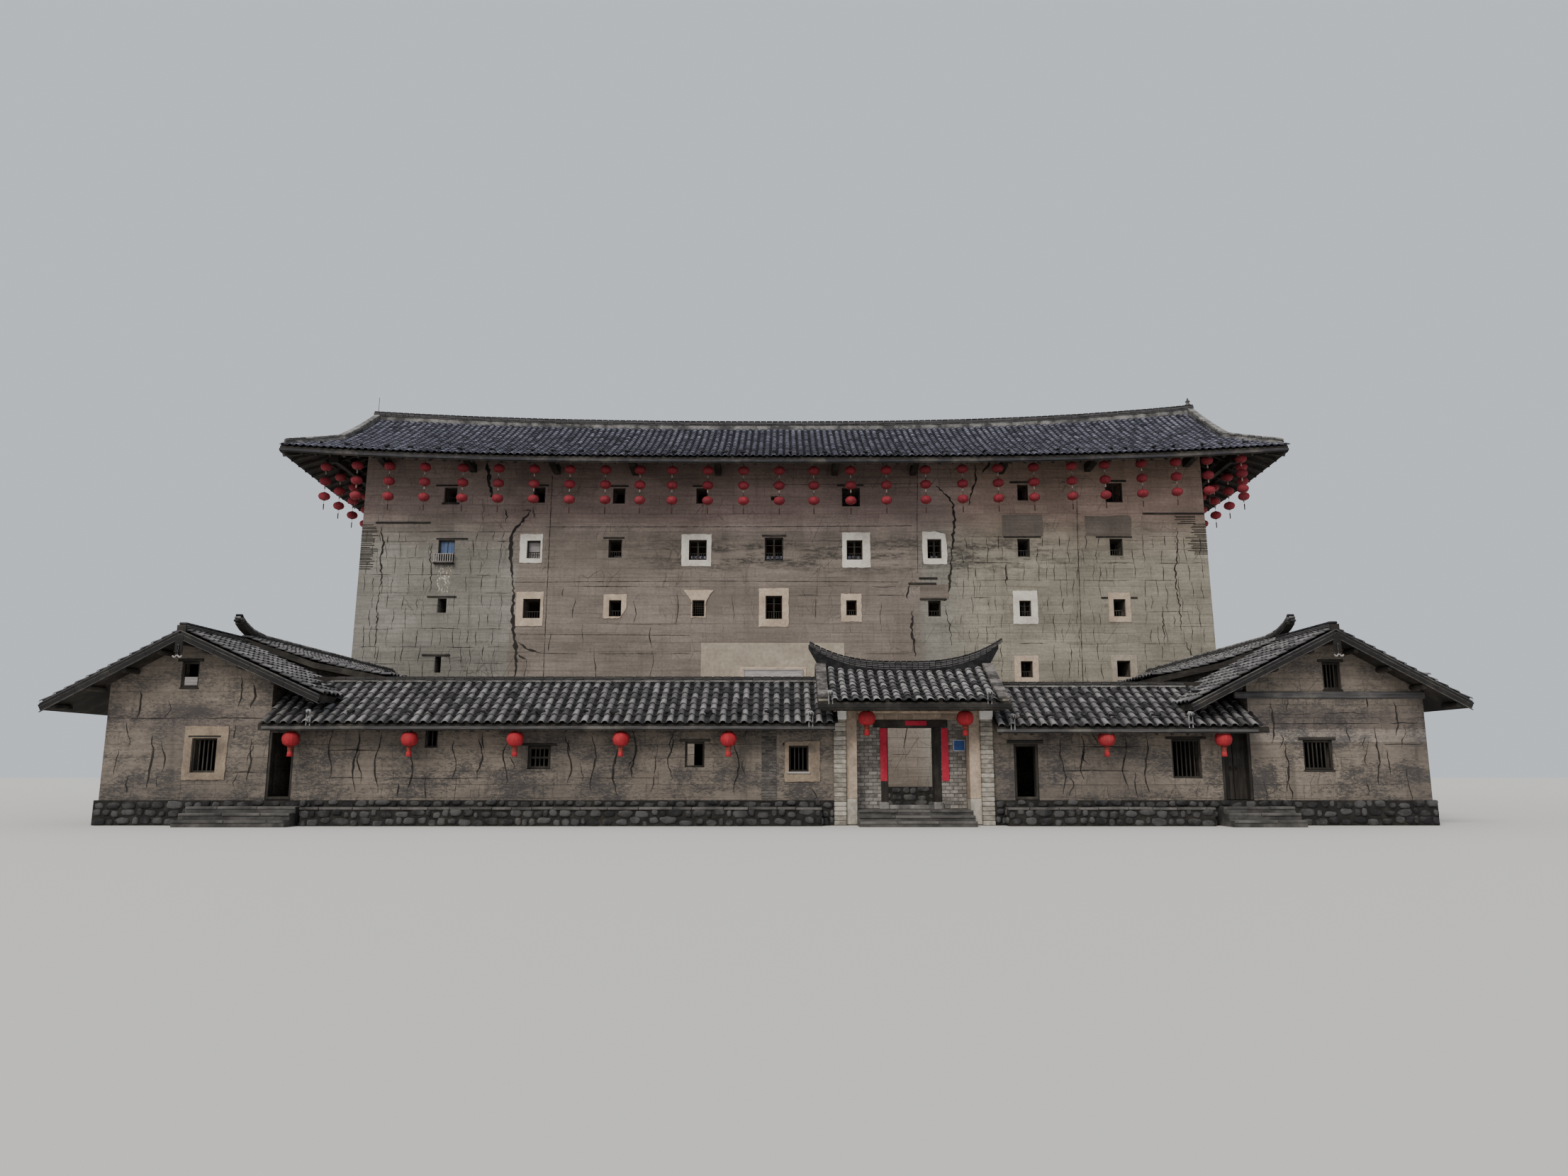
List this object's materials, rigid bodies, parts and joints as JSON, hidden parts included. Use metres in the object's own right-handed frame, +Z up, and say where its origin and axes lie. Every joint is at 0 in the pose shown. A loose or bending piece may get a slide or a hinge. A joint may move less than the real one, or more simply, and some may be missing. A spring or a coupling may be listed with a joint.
{
  "type": "square tulou with forecourt range, half-size model",
  "caption": "Square earth-walled tulou round an open courtyard, with hip-and-gable tile roofs, lantern strings and a low forecourt range with a roofed gate, as a half-size model.",
  "frame": {"origin": "on the ground, on the tulou's axis, at the centreline of its front wall's thickness", "axes": "+X to the right seen from the front, +Y from the forecourt towards the back, +Z up"},
  "size_m": [20.75, 23.675, 9.1167],
  "materials": {
    "earth": "rammed earth, grey-olive, lift lines and cracks",
    "earth_warm": "rammed earth, ochre-grey with soot stains",
    "rubble": "dark river rubble laid dry",
    "stone": "worn dressed stone",
    "brick": "grey brick with pale joints",
    "lime_render": "cream to white lime render",
    "timber": "dark weathered timber",
    "boards": "worn boards",
    "tile": "unglazed charcoal tiles, lighter at the edges",
    "ridge_lime": "weathered lime over tile",
    "lantern_cloth": "red ribbed lantern cloth",
    "tassel": "black tassel and cord",
    "iron": "dark iron",
    "red_paper": "plain red paper",
    "plate": "blue enamel, bare",
    "paint": "worn blue paint on timber",
    "fitting": "white lamp housing"
  },
  "bodies": {
    "house": {"main_plinth": "rubble", "front_wall": "earth", "back_wall": "earth", "left_wall": "earth", "right_wall": "earth", "floor_1": "stone", "floor_2": "boards", "floor_3": "boards", "floor_4": "boards", "floor_5": "boards", "gallery_front": "timber", "gallery_back": "timber", "gallery_left": "timber", "gallery_right": "timber", "main_roof_front": "tile", "main_roof_back": "tile", "main_roof_left": "tile", "main_roof_right": "tile", "main_ridge_front": "ridge_lime", "main_ridge_back": "ridge_lime", "eave_beams": "timber", "lantern_strings_front": "lantern_cloth", "lantern_strings_left": "lantern_cloth", "lantern_strings_right": "lantern_cloth", "podium_left": "rubble", "podium_right": "rubble", "range_walls_left": "earth_warm", "range_walls_right": "earth_warm", "range_roof_left": "tile", "range_roof_right": "tile", "front_house_walls_left": "earth_warm", "front_house_walls_right": "earth_warm", "front_house_roof_left": "tile", "front_house_roof_right": "tile", "rear_house_walls_left": "earth_warm", "rear_house_walls_right": "earth_warm", "rear_house_roof_left": "tile", "rear_house_roof_right": "tile", "corner_steps_left": "stone", "corner_steps_right": "stone", "gate_side_left": "brick", "gate_side_right": "brick", "gate_lintel": "brick", "gate_roof": "tile", "gate_ridge": "ridge_lime", "gate_steps": "stone", "range_lanterns_left": "lantern_cloth", "range_lanterns_right": "lantern_cloth", "gate_lanterns": "lantern_cloth"},
    "left_leaf": {"corner_door_leaf_left": "timber"},
    "right_leaf": {"corner_door_leaf_right": "timber"}
  },
  "joints": [
    {"name": "left_leaf_hinge", "type": "hinge", "parent": "house", "child": "left_leaf", "pos_m": [6.0025, -7.79, 0.786], "axis": [0, 0, 1], "range_deg": [0, 90]},
    {"name": "right_leaf_hinge", "type": "hinge", "parent": "house", "child": "right_leaf", "pos_m": [6.3525, -7.79, 0.786], "axis": [0, 0, 1], "range_deg": [-90, 0]}
  ]
}
